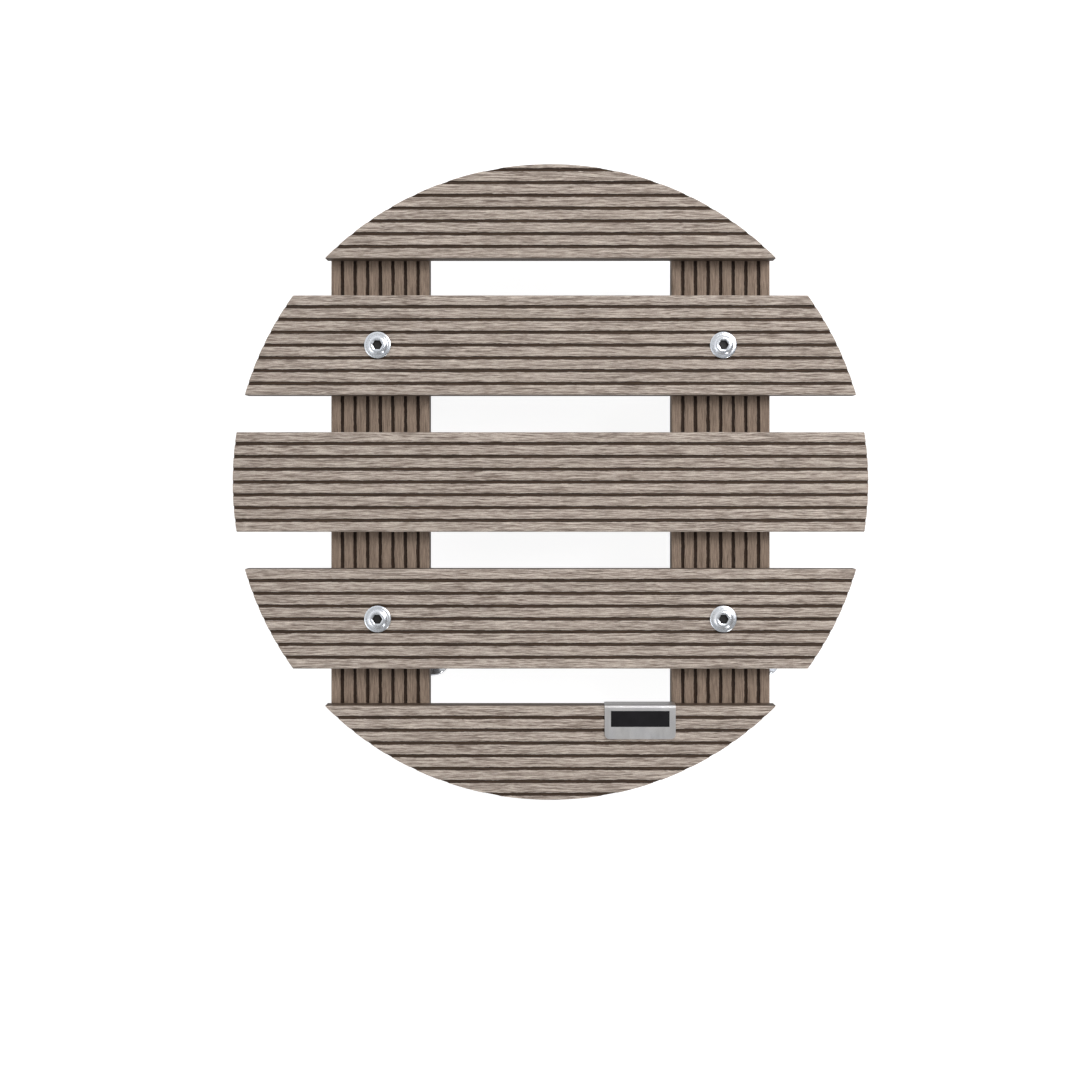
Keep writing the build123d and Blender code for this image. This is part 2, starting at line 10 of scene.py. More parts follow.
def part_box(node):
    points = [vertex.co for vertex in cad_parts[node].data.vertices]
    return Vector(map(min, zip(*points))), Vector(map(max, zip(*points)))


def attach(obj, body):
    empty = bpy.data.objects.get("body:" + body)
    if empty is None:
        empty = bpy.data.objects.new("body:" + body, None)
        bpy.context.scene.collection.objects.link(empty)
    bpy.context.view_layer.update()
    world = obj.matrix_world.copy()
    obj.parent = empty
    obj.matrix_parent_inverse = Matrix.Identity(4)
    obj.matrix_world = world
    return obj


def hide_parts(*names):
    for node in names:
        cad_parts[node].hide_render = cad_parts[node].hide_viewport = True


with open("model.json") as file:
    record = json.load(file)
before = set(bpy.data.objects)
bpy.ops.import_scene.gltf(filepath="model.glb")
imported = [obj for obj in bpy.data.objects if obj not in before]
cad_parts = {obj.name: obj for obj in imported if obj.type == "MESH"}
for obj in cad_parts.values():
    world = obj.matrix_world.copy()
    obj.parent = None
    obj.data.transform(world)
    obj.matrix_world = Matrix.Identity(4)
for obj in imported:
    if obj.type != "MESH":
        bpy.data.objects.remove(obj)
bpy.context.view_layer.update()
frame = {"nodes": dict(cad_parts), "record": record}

# A round plant pot caddy: grooved composite boards in two layers, on four swivel casters, two of them braked.
# It stands on the floor at z = 0, with its slats along X and its badge and brakes towards -Y.

MM = 0.001
EPS = 1e-6

SLATS = ("front_slat", "front_middle_slat", "centre_slat", "rear_middle_slat", "rear_slat")
RAILS = ("left_rail", "right_rail")
CASTERS = ("front_left", "front_right", "rear_left", "rear_right")
BRAKED = ("front_left", "front_right")

DECK_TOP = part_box("centre_slat")[1].z
DECK_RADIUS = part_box("centre_slat")[1].x

# Board stock, as the CAD boards are cut
BOARD_HALF_WIDTH = 30.6 * MM
BOARD_EDGE_RADIUS = 1.2 * MM
GROOVE_COUNT = 7
GROOVE_PITCH = 7.85 * MM
GROOVE_WIDTH = 2.1 * MM
GROOVE_DEPTH = 1.3 * MM
GROOVE_DRAFT = 0.14 * MM
LIP_WIDTH = 0.4 * MM
LIP_DROP = 0.2 * MM

# What wear and brushing add to it
RAGGED_EDGE = 0.42 * MM
GRAIN_RELIEF = 0.09 * MM


# ---------------------------------------------------------------- node trees

RAMP_SOCKETS = ("From Min", "From Max", "To Min", "To Max")


class Tree:
    """A short way to write a node tree."""

    def __init__(self, tree):
        self.tree = tree

    def add(self, kind, **settings):
        """A new node, with its properties set by name."""
        node = self.tree.nodes.new(kind)
        for key, value in settings.items():
            setattr(node, key, value)
        return node

    def link(self, source, target):
        self.tree.links.new(source, target)

    def put(self, target, value):
        """Sets a socket, or links it when the value is another node's output."""
        if isinstance(value, bpy.types.NodeSocket):
            self.link(value, target)
        else:
            target.default_value = value

    def ramp(self, value, low, high, out_low=0.0, out_high=1.0):
        """Maps a range of a value to another range, held at its ends."""
        node = self.add("ShaderNodeMapRange")
        self.put(node.inputs["Value"], value)
        for socket, number in zip(RAMP_SOCKETS, (low, high, out_low, out_high)):
            node.inputs[socket].default_value = number
        return node.outputs["Result"]

    def math(self, operation, first, second):
        """One operation on two values."""
        node = self.add("ShaderNodeMath", operation=operation)
        self.put(node.inputs[0], first)
        self.put(node.inputs[1], second)
        return node.outputs[0]


class Surface(Tree):
    """A material's node tree. Its textures are read in the object's own coordinates."""

    def __init__(self, name):
        self.material = bpy.data.materials.new(name)
        self.material.use_nodes = True
        super().__init__(self.material.node_tree)
        self.tree.nodes.clear()
        self.shader = self.add("ShaderNodeBsdfPrincipled")
        self.output = self.add("ShaderNodeOutputMaterial")
        self.link(self.shader.outputs["BSDF"], self.output.inputs["Surface"])
        self.place = self.add("ShaderNodeTexCoord").outputs["Object"]

    def noise(self, scale, detail=2.0, roughness=0.5, stretch=(1, 1, 1), distortion=0.0):
        """Noise with features about 1 / scale metres across, longer along the axes whose stretch is small."""
        mapping = self.add("ShaderNodeMapping")
        mapping.inputs["Scale"].default_value = [scale * factor for factor in stretch]
        self.link(self.place, mapping.inputs["Vector"])
        texture = self.add("ShaderNodeTexNoise")
        texture.inputs["Scale"].default_value = 1.0
        texture.inputs["Detail"].default_value = detail
        texture.inputs["Roughness"].default_value = roughness
        texture.inputs["Distortion"].default_value = distortion
        self.link(mapping.outputs["Vector"], texture.inputs["Vector"])
        return texture.outputs["Fac"]

    def warp(self, scale, amount):
        """Bends every later noise: shifts the place it is read at by a smooth random distance."""
        texture = self.add("ShaderNodeTexNoise")
        texture.inputs["Scale"].default_value = scale
        texture.inputs["Detail"].default_value = 1.0
        self.link(self.place, texture.inputs["Vector"])
        centred = self.add("ShaderNodeVectorMath", operation="SUBTRACT")
        self.link(texture.outputs["Color"], centred.inputs[0])
        centred.inputs[1].default_value = (0.5, 0.5, 0.5)
        shift = self.add("ShaderNodeVectorMath", operation="SCALE")
        self.link(centred.outputs[0], shift.inputs[0])
        shift.inputs["Scale"].default_value = amount
        moved = self.add("ShaderNodeVectorMath", operation="ADD")
        self.link(self.place, moved.inputs[0])
        self.link(shift.outputs[0], moved.inputs[1])
        self.place = moved.outputs[0]

    def attribute(self, name):
        """A value that the mesh carries."""
        return self.add("ShaderNodeAttribute", attribute_name=name).outputs["Fac"]

    def mix(self, factor, first, second):
        """A colour part of the way from the first to the second."""
        node = self.add("ShaderNodeMix", data_type="RGBA")
        self.put(node.inputs["Factor"], factor)
        self.put(node.inputs[6], first)
        self.put(node.inputs[7], second)
        return node.outputs[2]

    def bump(self, height, distance, strength, normal=None):
        """A normal bent by a height, on top of another bump where one is given."""
        node = self.add("ShaderNodeBump")
        node.inputs["Strength"].default_value = strength
        node.inputs["Distance"].default_value = distance
        self.link(height, node.inputs["Height"])
        if normal is not None:
            self.link(normal, node.inputs["Normal"])
        return node.outputs["Normal"]

    def finish(self, color, roughness, normal=None, **sockets):
        """Feeds the shader, sets its other sockets by name and returns the material."""
        self.put(self.shader.inputs["Base Color"], color)
        self.put(self.shader.inputs["Roughness"], roughness)
        if normal is not None:
            self.link(normal, self.shader.inputs["Normal"])
        for name, value in sockets.items():
            self.shader.inputs[name.replace("_", " ")].default_value = value
        return self.material


# ---------------------------------------------------------------- materials

def srgb(red, green, blue):
    """A colour given in the 0 to 255 steps of a colour picker, as the linear values that shaders use."""
    def linear(step):
        value = step / 255
        return value / 12.92 if value <= 0.04045 else ((value + 0.055) / 1.055) ** 2.4
    return (linear(red), linear(green), linear(blue), 1.0)


def shade(tone, factor):
    """A tone made darker or lighter."""
    return tuple(factor * channel for channel in tone[:3]) + (1.0,)


def brushed_board(name, stretch, crack_depth, light, middle, dark, groove):
    """The brushed top of a composite board: wavy fibres along it, fine cracks and dark groove floors."""
    nodes = Surface(name)
    patches = nodes.noise(30, 3.0, 0.6, tuple(0.4 + 0.6 * factor for factor in stretch))
    grit = nodes.noise(1500, 1.0)
    nodes.warp(60, 1.0 * MM)
    fibres = nodes.noise(2600, 2.0, 0.6, tuple(min(1, 2.2 * factor) for factor in stretch))
    strands = nodes.noise(1800, 2.0, 0.6, stretch)
    cracks = nodes.noise(1600, 2.0, 0.6, stretch)
    fibre_share = nodes.ramp(fibres, 0.4, 0.6, 0.0, 0.45)
    streak = nodes.math("ADD", fibre_share, nodes.ramp(strands, 0.44, 0.56, 0.0, 0.55))
    color = nodes.mix(streak, dark, light)
    color = nodes.mix(nodes.ramp(patches, 0.35, 0.7, 0.0, 0.3), color, middle)
    color = nodes.mix(nodes.ramp(cracks, 0.58, 0.68, 0.0, crack_depth), color, groove)
    color = nodes.mix(nodes.ramp(cracks, 0.4, 0.3, 0.0, 0.4), color, shade(light, 1.3))
    color = nodes.mix(nodes.ramp(grit, 0.4, 0.65, 0.0, 0.22), color, dark)
    ragged = nodes.math("ADD", nodes.attribute("groove"), nodes.ramp(fibres, 0.3, 0.7, -0.12, 0.12))
    groove_tone = nodes.mix(nodes.ramp(strands, 0.35, 0.65), shade(groove, 0.6), groove)
    color = nodes.mix(nodes.ramp(ragged, 0.42, 0.62), color, groove_tone)
    height = nodes.math("ADD", nodes.math("MULTIPLY", fibres, 0.6), nodes.math("MULTIPLY", strands, 0.8))
    height = nodes.math("SUBTRACT", height, nodes.ramp(cracks, 0.58, 0.7, 0.0, 0.5))
    roughness = nodes.ramp(streak, 0.2, 0.8, 0.62, 0.82)
    return nodes.finish(color, roughness, nodes.bump(height, 0.5 * MM, 0.9), Specular_IOR_Level=0.3)


def board_side(name, stretch, tone):
    """The smooth extruded sides and underside of a composite board, with a few pale specks."""
    nodes = Surface(name)
    drawn = nodes.noise(500, 3.0, 0.6, stretch)
    specks = nodes.ramp(nodes.noise(900, 1.0), 0.7, 0.76)
    blotches = nodes.noise(30, 3.0, 0.6)
    color = nodes.mix(nodes.ramp(drawn, 0.3, 0.7, 0.0, 0.7), shade(tone, 0.8), shade(tone, 1.25))
    color = nodes.mix(nodes.ramp(blotches, 0.4, 0.7, 0.0, 0.3), color, shade(tone, 1.5))
    color = nodes.mix(nodes.math("MULTIPLY", specks, 0.5), color, srgb(170, 158, 146))
    return nodes.finish(color, nodes.ramp(drawn, 0.3, 0.7, 0.42, 0.58), nodes.bump(drawn, 0.08 * MM, 0.6))


def cut_end(name, tone):
    """The sawn ends of the boards: paler, with fine level saw marks and pores."""
    nodes = Surface(name)
    saw = nodes.noise(1800, 2.0, 0.6, (0.12, 0.12, 1.0))
    pores = nodes.ramp(nodes.noise(1100, 2.0, 0.6), 0.62, 0.72)
    clouds = nodes.noise(60, 3.0, 0.6)
    color = nodes.mix(nodes.ramp(saw, 0.3, 0.7), shade(tone, 0.82), shade(tone, 1.12))
    color = nodes.mix(nodes.ramp(clouds, 0.35, 0.7, 0.0, 0.4), color, shade(tone, 0.75))
    color = nodes.mix(nodes.math("MULTIPLY", pores, 0.5), color, srgb(92, 78, 68))
    return nodes.finish(color, 0.85, nodes.bump(saw, 0.15 * MM, 0.7), Specular_IOR_Level=0.25)


ZINC_BLUE = (0.52, 0.60, 0.78, 1.0)
ZINC_YELLOW = (0.80, 0.76, 0.62, 1.0)


def zinc(name, tone, rough, tint, spangle, metallic=1.0, wear=1.0):
    """Zinc plate on steel: fine spangle, a faint blue and yellow bloom, a few scuffs and shallow dents."""
    nodes = Surface(name)
    bloom = nodes.noise(45, 2.0, 0.5, distortion=0.8)
    mottling = nodes.noise(1300, 3.0, 0.65)
    dents = nodes.noise(150, 2.0, 0.5)
    scuffs = nodes.noise(320, 3.0, 0.6, (1.0, 0.25, 0.6))
    bloom_tone = nodes.mix(nodes.ramp(bloom, 0.4, 0.6), ZINC_BLUE, ZINC_YELLOW)
    color = nodes.mix(0.45 * tint, tone, bloom_tone)
    dull = shade(tone, 0.62)
    color = nodes.mix(nodes.ramp(mottling, 0.44, 0.6, 0.0, spangle), color, dull)
    color = nodes.mix(nodes.ramp(scuffs, 0.6, 0.8, 0.0, 0.22), color, dull)
    scuffed = nodes.ramp(scuffs, 0.35, 0.75, rough - 0.03, rough + 0.08)
    roughness = nodes.math("ADD", scuffed, nodes.ramp(mottling, 0.3, 0.7, -0.04, 0.05))
    grain = nodes.bump(mottling, 0.03 * MM, 0.5 * wear)
    return nodes.finish(color, roughness, nodes.bump(dents, 0.2 * MM, 0.25 * wear, grain), Metallic=metallic)


def moulded(name, tone, rough, mottle=0.12, gloss=0.5):
    """Moulded plastic or rubber: slight mottling of its tone and its sheen, and a fine skin."""
    nodes = Surface(name)
    mottling = nodes.noise(160, 3.0, 0.6)
    skin = nodes.noise(2200, 2.0, 0.5)
    color = nodes.mix(nodes.ramp(mottling, 0.35, 0.7), shade(tone, 1 - mottle), shade(tone, 1 + mottle))
    roughness = nodes.ramp(mottling, 0.3, 0.7, rough - 0.05, rough + 0.08)
    return nodes.finish(color, roughness, nodes.bump(skin, 0.03 * MM, 0.4), Specular_IOR_Level=gloss)


# The fibres are about thirty times longer along the board than across it
ALONG_X = (0.034, 1.0, 1.0)
ALONG_Y = (1.0, 0.034, 1.0)

# Light, middle and dark fibres, and the groove floor
SLAT_TONES = (srgb(203, 191, 180), srgb(170, 157, 146), srgb(106, 91, 81), srgb(76, 60, 48))
# The rails are the same board stock as the slats; their darker tones, darkest at the groove floor, are
# painted shade of their place below the slats
SHADED_RAIL_TONES = (srgb(161, 142, 126), srgb(145, 126, 111), srgb(120, 102, 88), srgb(58, 42, 31))
SIDE_TONE = srgb(76, 61, 50)
CUT_TONE = srgb(164, 156, 150)

looks = {
    "slat_top": brushed_board("slat_top", ALONG_X, 0.55, *SLAT_TONES),
    # The rail tops carry painted shade in their darker tones
    "rail_top": brushed_board("rail_top", ALONG_Y, 0.3, *SHADED_RAIL_TONES),
    "slat_side": board_side("slat_side", ALONG_X, SIDE_TONE),
    "rail_side": board_side("rail_side", ALONG_Y, SIDE_TONE),
    "cut_end": cut_end("cut_end", CUT_TONE),
    "zinc_steel": zinc("zinc_steel", (0.82, 0.86, 0.93, 1.0), 0.16, 0.45, 0.4),
    "cup_steel": zinc("cup_steel", (0.60, 0.62, 0.60, 1.0), 0.36, 0.3, 0.35, metallic=0.45),
    "rivet_steel": zinc("rivet_steel", (0.86, 0.88, 0.90, 1.0), 0.14, 0.15, 0.1, wear=0.4),
    "bolt_steel": zinc("bolt_steel", (0.80, 0.83, 0.88, 1.0), 0.25, 0.2, 0.1, wear=0.25),
    "ball_steel": zinc("ball_steel", (0.07, 0.07, 0.065, 1.0), 0.4, 0.0, 0.35),
    "nylon": moulded("nylon", srgb(216, 212, 200), 0.5, mottle=0.04),
    # The wheel core is a darker tone than the tread ring: painted shade of its recessed dish
    "wheel_plastic": moulded("wheel_plastic", srgb(52, 57, 80), 0.17),
    "tyre_rubber": moulded("tyre_rubber", srgb(62, 68, 92), 0.17),
    "badge_metal": zinc("badge_metal", (0.68, 0.67, 0.67, 1.0), 0.34, 0.1, 0.15),
    "badge_print": moulded("badge_print", srgb(14, 12, 16), 0.5, mottle=0.25, gloss=0.2),
    # The bolts' hexagon sockets are painted near black: painted shade of the deep holes
    "painted_socket_shade": moulded("painted_socket_shade", srgb(24, 22, 22), 0.6, mottle=0.3),
}


# ---------------------------------------------------------------- mesh helpers

def make_object(name, vertices, faces, surfaces, kinds, sharp_angle):
    """A new mesh object with smooth faces, a look for each kind of face and edges sharp above an angle."""
    mesh = bpy.data.meshes.new(name)
    mesh.from_pydata([tuple(corner) for corner in vertices], [], faces)
    for surface in surfaces:
        mesh.materials.append(looks[surface])
    mesh.polygons.foreach_set("material_index", kinds)
    mesh.polygons.foreach_set("use_smooth", [True] * len(faces))
    mesh.set_sharp_from_angle(angle=math.radians(sharp_angle))
    mesh.update()
    piece = bpy.data.objects.new(name, mesh)
    bpy.context.scene.collection.objects.link(piece)
    return piece


# ---------------------------------------------------------------- boards

# Kinds of face on a board, in the order of its materials
BRUSHED, EXTRUDED, SAWN = range(3)

# One side of a groove from its lip down: how far in from the edge, how deep, how dark
GROOVE_SIDE = (
    (-LIP_WIDTH, 0.0, 0.05),
    (0.0, LIP_DROP, 0.35),
    (GROOVE_DRAFT, GROOVE_DEPTH * 0.55, 0.9),
    (2 * GROOVE_DRAFT, GROOVE_DEPTH, 1.0),
)

# The noises that wear a board: how fast each changes along it and across it, and the layer it is read in
COARSE_LIP = (160, 900, 7.3)
FINE_LIP = (620, 900, 3.1)
COARSE_GRAIN = (70, 700, 1.0)
FINE_GRAIN = (240, 1500, 5.0)

# Points nearer to a groove's middle than this do not wander with its ragged sides
GROOVE_MIDDLE = 0.1 * MM

# How finely a board's mesh is divided
EDGE_SHARES = (0.0, 0.12, 0.45, 1.0)
LAND_STEPS = 5
UNDERSIDE_ROWS = 14
COLUMN_SPACING = 1.3 * MM
ARC_GAPS = [gap * MM for gap in (0.0, 0.08, 0.3, 0.7, 1.3, 2.1, 3.1, 4.3)]
CLOSE = 0.04 * MM

# Kept clear of the round cut's very edge, and of what lies against the underside
ARC_INSET = 0.02 * MM
UNDERSIDE_LIFT = 0.04 * MM


def round_drop(distance):
    """How far a rounded long edge has fallen at a distance in from the side of the board."""
    inside = min(max(distance, 0.0), BOARD_EDGE_RADIUS)
    return BOARD_EDGE_RADIUS - math.sqrt(BOARD_EDGE_RADIUS ** 2 - (BOARD_EDGE_RADIUS - inside) ** 2)


def half_chord(offset):
    """Half the width of the round deck at an offset from its middle."""
    return math.sqrt(max(DECK_RADIUS ** 2 - offset ** 2, EPS ** 2))


def arc_stations(low, high):
    """Across positions that close in on a side where the round cut has taken the board's edge off."""
    stations = [low + gap for gap in ARC_GAPS if low > -BOARD_HALF_WIDTH + EPS]
    return stations + [high - gap for gap in ARC_GAPS if high < BOARD_HALF_WIDTH - EPS]


def top_stations(low, high):
    """Across positions on a board's top, with the drop below its face and how far into a groove each is."""
    rows = []
    for share in EDGE_SHARES:
        inward = share * BOARD_EDGE_RADIUS
        rows.append((-BOARD_HALF_WIDTH + inward, round_drop(inward), 0.0))
        rows.append((BOARD_HALF_WIDTH - inward, round_drop(inward), 0.0))
    for index in range(GROOVE_COUNT):
        middle = (index - (GROOVE_COUNT - 1) / 2) * GROOVE_PITCH
        rows.append((middle, GROOVE_DEPTH, 1.0))
        for inward, drop, depth in GROOVE_SIDE:
            rows.append((middle - (GROOVE_WIDTH / 2 - inward), drop, depth))
            rows.append((middle + (GROOVE_WIDTH / 2 - inward), drop, depth))
    land = GROOVE_PITCH - GROOVE_WIDTH - 2 * LIP_WIDTH
    for index in range(GROOVE_COUNT + 1):
        middle = (index - GROOVE_COUNT / 2) * GROOVE_PITCH
        rows += [(middle + (step / LAND_STEPS - 0.5) * land, 0.0, 0.0) for step in range(1, LAND_STEPS)]
    rows = sorted(row for row in rows if low - EPS <= row[0] <= high + EPS)
    places, drops, depths = zip(*rows)
    for across in arc_stations(low, high):
        if min(abs(place - across) for place in places) >= CLOSE:
            drop = float(np.interp(across, places, drops))
            rows.append((across, drop, float(np.interp(across, places, depths))))
    return sorted(rows)


def bottom_stations(low, high):
    """Across positions on a board's plain underside, with the rise above its lower face."""
    rows = []
    for share in EDGE_SHARES:
        inward = share * BOARD_EDGE_RADIUS
        rows.append((-BOARD_HALF_WIDTH + inward, round_drop(inward)))
        rows.append((BOARD_HALF_WIDTH - inward, round_drop(inward)))
    inner = np.linspace(-BOARD_HALF_WIDTH, BOARD_HALF_WIDTH, UNDERSIDE_ROWS)[1:-1]
    rows += [(float(across), 0.0) for across in inner]
    rows += [(across, 0.0) for across in arc_stations(low, high)]
    return sorted(row for row in rows if low - EPS <= row[0] <= high + EPS)


def board_centre(low_corner, high_corner, along_x):
    """Where the uncut board's middle line is. A board with a side cut off is measured from its other side."""
    if along_x and abs(low_corner.y) > DECK_RADIUS - EPS:
        return high_corner.y - BOARD_HALF_WIDTH
    if along_x and abs(high_corner.y) > DECK_RADIUS - EPS:
        return low_corner.y + BOARD_HALF_WIDTH
    axis = 1 if along_x else 0
    return (low_corner[axis] + high_corner[axis]) / 2


def board_noise(scales, along, place):
    """A smooth random value at a place on a board."""
    return noise.noise((along * scales[0], place * scales[1], scales[2]))


def lip_shift(along, across, centre):
    """How far a groove's ragged side stands out of line at a place."""
    groove = round(across / GROOVE_PITCH) * GROOVE_PITCH
    if abs(across - groove) <= GROOVE_MIDDLE:
        return 0.0
    side = 1 if across > groove else -1
    row = centre + groove + side * GROOVE_WIDTH
    ragged = 0.55 * board_noise(COARSE_LIP, along, row) + 0.5 * board_noise(FINE_LIP, along, row)
    return side * RAGGED_EDGE * ragged


def grain_lift(along, place):
    """The brushed relief on the lands: long low ridges, sunk so that they hardly rise above the face."""
    relief = board_noise(COARSE_GRAIN, along, place) + 0.6 * board_noise(FINE_GRAIN, along, place)
    return GRAIN_RELIEF * relief - GRAIN_RELIEF


def end_triangles(tops, bottoms, upper, lower):
    """The triangles of a board's end, zipped up between the points of its top and of its underside."""
    above = below = 0
    while above < len(upper) - 1 or below < len(lower) - 1:
        more_above = above < len(upper) - 1
        if below == len(lower) - 1 or (more_above and tops[above + 1][0] <= bottoms[below + 1][0]):
            yield upper[above], upper[above + 1], lower[below]
            above += 1
        else:
            yield upper[above], lower[below + 1], lower[below]
            below += 1


def board_faces(tops, bottoms, columns, low_cut, high_cut):
    """The faces round a board, over its top and back along its underside, and then its two ends."""
    count = len(tops) + len(bottoms)
    row_kinds = [BRUSHED] * (len(tops) - 1) + [SAWN if high_cut else EXTRUDED]
    row_kinds += [EXTRUDED] * (len(bottoms) - 1) + [SAWN if low_cut else EXTRUDED]
    faces, kinds = [], []
    for index, kind in enumerate(row_kinds):
        after = (index + 1) % count
        for column in range(columns - 1):
            here, there = index * columns + column, after * columns + column
            faces.append((here, here + 1, there + 1, there))
            kinds.append(kind)
    for column in (0, columns - 1):
        upper = [index * columns + column for index in range(len(tops))]
        lower = [(count - 1 - index) * columns + column for index in range(len(bottoms))]
        for triangle in end_triangles(tops, bottoms, upper, lower):
            faces.append(triangle if column == 0 else tuple(reversed(triangle)))
            kinds.append(SAWN)
    return faces, kinds


def make_board(name, along_x, top_look, side_look):
    """A grooved board cut to the round deck, with ragged groove lips and a brushed relief on its lands."""
    low_corner, high_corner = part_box(name)
    centre = board_centre(low_corner, high_corner, along_x)
    turn = 1 if along_x else -1
    low, high = -BOARD_HALF_WIDTH, BOARD_HALF_WIDTH
    if along_x:
        low = max(low, -DECK_RADIUS + ARC_INSET - centre)
        high = min(high, DECK_RADIUS - ARC_INSET - centre)
    top, bottom = high_corner.z, low_corner.z + UNDERSIDE_LIFT
    tops, bottoms = top_stations(low, high), bottom_stations(low, high)
    rows = [(across, top - drop, depth) for across, drop, depth in tops]
    rows += [(across, bottom + rise, 0.0) for across, rise in reversed(bottoms)]
    longest = max(half_chord(centre + turn * row[0]) for row in rows)
    columns = int(2 * longest / COLUMN_SPACING) + 1

    vertices, depths = [], []
    for index, (across, height, depth) in enumerate(rows):
        reach = half_chord(centre + turn * across)
        on_groove = index < len(tops) and depth > 0
        on_land = index < len(tops) and depth < 0.5 and height > top - BOARD_EDGE_RADIUS / 2
        for column in range(columns):
            along = (2 * column / (columns - 1) - 1) * reach
            shift = lip_shift(along, across, centre) if on_groove and abs(along) < reach else 0.0
            lift = grain_lift(along, centre + across) if on_land else 0.0
            place = centre + turn * (across + shift)
            vertices.append((along, place, height + lift) if along_x else (place, along, height + lift))
            depths.append(depth)

    low_cut, high_cut = low > -BOARD_HALF_WIDTH + EPS, high < BOARD_HALF_WIDTH - EPS
    faces, kinds = board_faces(tops, bottoms, columns, low_cut, high_cut)
    piece = make_object(name + "_board", vertices, faces, [top_look, side_look, "cut_end"], kinds, 35)
    piece.data.attributes.new("groove", "FLOAT", "POINT").data.foreach_set("value", depths)
    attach(piece, "deck")
    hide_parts(name)


for name in SLATS:
    make_board(name, True, "slat_top", "slat_side")
for name in RAILS:
    make_board(name, False, "rail_top", "rail_side")


# ---------------------------------------------------------------- CAD nodes that stay

slot_of = {part["node"]: part["material_slot"] for part in frame["record"]["subparts"]}
bodies = frame["record"]["behaviour"]["bodies"]
body_of = {member: body for body, members in bodies.items() for member in members}

# An axle shows only as the bright domed rivet at its ends
for name, node in frame["nodes"].items():
    look = "rivet_steel" if name.endswith("_axle") else slot_of[name]
    for slot in node.material_slots:
        slot.material = looks.get(look, slot.material)


# ---------------------------------------------------------------- turned pieces

def turned(origin, axis, profile, segments, radius_at=None):
    """The points and faces of a surface turned from (along the axis, radius) stations."""
    vertices, faces = [], []
    side = Vector((0, 0, 1)) if abs(axis.x) > 0.5 else Vector((1, 0, 0))
    up = axis.cross(side)
    for row, (along, radius) in enumerate(profile):
        for step in range(segments):
            angle = 2 * math.pi * step / segments
            reach = radius_at(row, radius, angle) if radius_at else radius
            across, rise = reach * math.cos(angle), reach * math.sin(angle)
            vertices.append(origin + axis * along + side * across + up * rise)
    for row in range(len(profile) - 1):
        here, there = row * segments, (row + 1) * segments
        for step in range(segments):
            after = (step + 1) % segments
            faces.append((here + step, here + after, there + after, there + step))
    return vertices, faces


# Bolts: a flange, a dome and a hexagon socket, as (height above the deck, radius) in millimetres
BOLT_SEGMENTS = 96
BOLT_HEAD_RADIUS = 8.2 * MM
SHANK_RADIUS = 4 * MM
SHANK_CHAMFER = 1 * MM
SHANK_TIP = 0.2 * MM
BOLT_RINGS = [
    (0.00, 4.0), (0.00, 7.7), (0.08, 8.05), (0.35, 8.2), (0.65, 8.12), (0.85, 7.85), (1.0, 7.3), (1.08, 6.5),
    (1.12, 6.1), (1.2, 5.95), (1.5, 5.85), (1.85, 5.6), (2.15, 5.2), (2.38, 4.75), (2.52, 4.3), (2.6, 3.95),
    (2.6, 3.7),
]
SOCKET_FLATS = 5.2 * MM
SOCKET_RING = 3.0
SOCKET_RINGS = [(2.3, 3.15), (1.9, SOCKET_RING), (0.4, SOCKET_RING), (0.25, 2.8)]
# Kinds of face on a bolt: steel, and the sockets' painted shade
STEEL, SOCKET_SHADE = range(2)


def hexagon_radius(angle):
    """The distance from the middle of the hexagon socket to its side, in a direction."""
    return SOCKET_FLATS / 2 / math.cos(angle % (math.pi / 3) - math.pi / 6)


def make_bolts():
    """The four caster bolts: shanks with a chamfered end, domed heads and hexagon sockets painted near black
    as painted shade of the deep holes.
    """
    low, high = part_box("caster_bolts")
    end = low.z - DECK_TOP
    shank = [(end, SHANK_TIP), (end, SHANK_RADIUS - SHANK_CHAMFER), (end + SHANK_CHAMFER, SHANK_RADIUS)]
    rings = shank + [(height * MM, radius * MM) for height, radius in BOLT_RINGS + SOCKET_RINGS]
    first_hexagon = len(shank) + len(BOLT_RINGS)

    def radius_at(row, radius, angle):
        return hexagon_radius(angle) * radius / (SOCKET_RING * MM) if row >= first_hexagon else radius

    vertices, faces, kinds = [], [], []
    for x in (low.x + BOLT_HEAD_RADIUS, high.x - BOLT_HEAD_RADIUS):
        for y in (low.y + BOLT_HEAD_RADIUS, high.y - BOLT_HEAD_RADIUS):
            spot = Vector((x, y, DECK_TOP))
            bolt, bolt_faces = turned(spot, Vector((0, 0, 1)), rings, BOLT_SEGMENTS, radius_at)
            bolt_faces.append(tuple(reversed(range(BOLT_SEGMENTS))))
            bolt_faces.append(tuple(range(len(bolt) - BOLT_SEGMENTS, len(bolt))))
            faces += [tuple(len(vertices) + corner for corner in face) for face in bolt_faces]
            vertices += bolt
            for row in range(len(rings) - 1):
                kinds += [SOCKET_SHADE if row >= first_hexagon else STEEL] * BOLT_SEGMENTS
            kinds += [STEEL, SOCKET_SHADE]
    piece = make_object("domed_bolts", vertices, faces, ["bolt_steel", "painted_socket_shade"], kinds, 28)
    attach(piece, "deck")
    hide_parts("caster_bolts")


# Half of a tread ring's section, as (distance from its middle, radius) in millimetres: from the inner end of
# its side wall out over the shoulder to the tread
TYRE_SEGMENTS = 128
TYRE_SIDE = [
    (10.35, 20.6), (10.7, 20.75), (10.92, 21.3), (11.0, 22.0), (10.96, 22.6), (10.75, 23.3),
    (10.35, 23.95), (9.8, 24.45), (9.1, 24.82), (8.3, 24.98), (7.2, 25.0), (3.0, 25.0),
]


